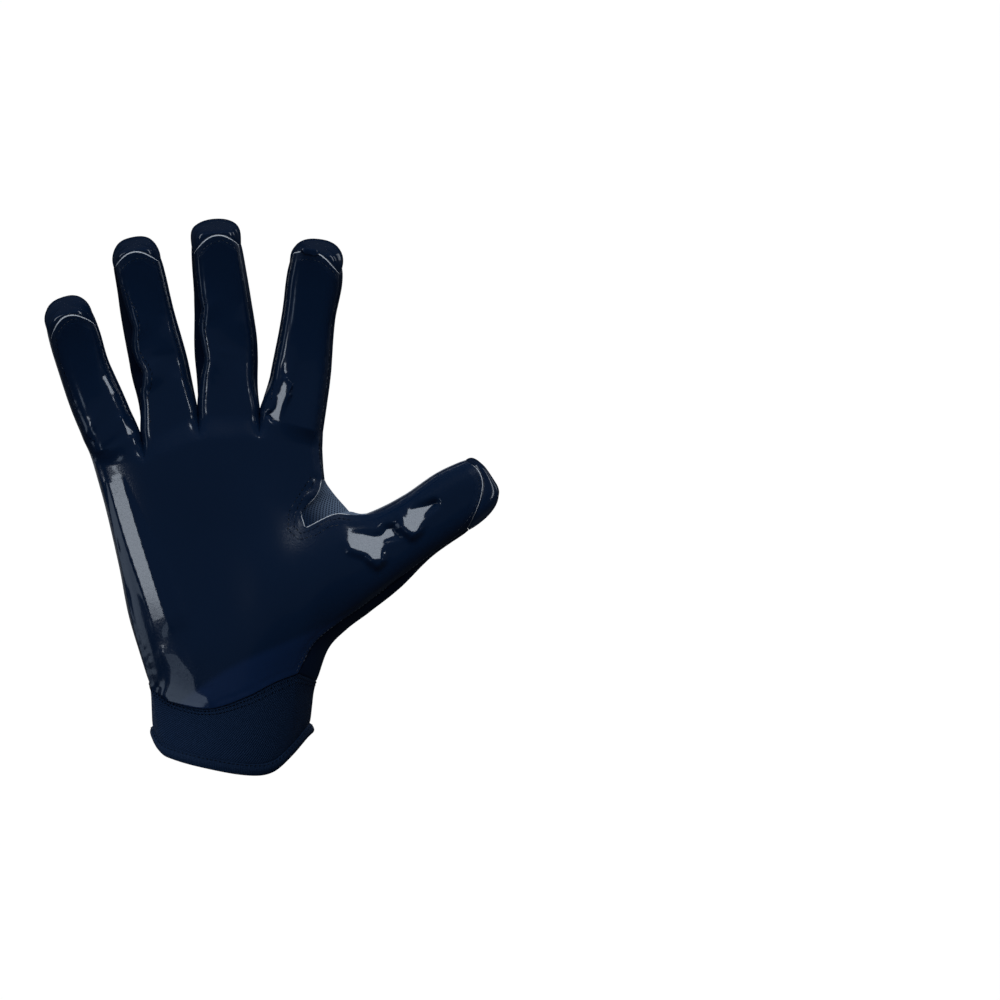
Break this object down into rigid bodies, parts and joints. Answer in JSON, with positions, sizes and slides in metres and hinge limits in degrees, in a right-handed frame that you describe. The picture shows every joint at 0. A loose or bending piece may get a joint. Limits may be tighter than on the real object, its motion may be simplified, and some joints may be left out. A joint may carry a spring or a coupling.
{
  "type": "football receiver glove",
  "caption": "Right-hand sports glove with a glossy tacky palm, side walls between spread fingers, fingertip caps, a thumb gusset and a short knit cuff, hollow and open at the wrist.",
  "frame": {"origin": "centre of the wrist opening, between the two faces of the hem", "axes": "+Z from the wrist to the fingertips, +X towards the thumb, -Y out of the palm, +Y out of the back of the hand"},
  "size_m": [0.1816, 0.0432, 0.2217],
  "materials": {
    "grip_palm": "glossy tacky coating, deep navy, pale raw cut edge",
    "back_cloth": "fine stretch knit, navy, matte",
    "side_cloth": "coated stretch cloth, navy, soft sheen",
    "gusset_cloth": "fine pierced mesh cloth, grey navy, matte",
    "tip_cap": "glossy coated cloth, navy",
    "cuff_knit": "diagonal rib knit, navy, matte",
    "hem_tape": "smooth folded tape, navy, matte"
  },
  "bodies": {
    "root": {"palm_panel": "grip_palm", "back_panel": "back_cloth", "ulnar_side": "side_cloth", "fourchette_little_ring": "side_cloth", "fourchette_ring_middle": "side_cloth", "fourchette_middle_index": "side_cloth", "index_side": "side_cloth", "thumb_gusset": "gusset_cloth", "thumb_side_upper": "side_cloth", "thumb_side_lower": "side_cloth", "cap_little": "tip_cap", "cap_ring": "tip_cap", "cap_middle": "tip_cap", "cap_index": "tip_cap", "cap_thumb": "tip_cap", "cuff": "cuff_knit", "hem_binding": "hem_tape"}
  },
  "joints": []
}
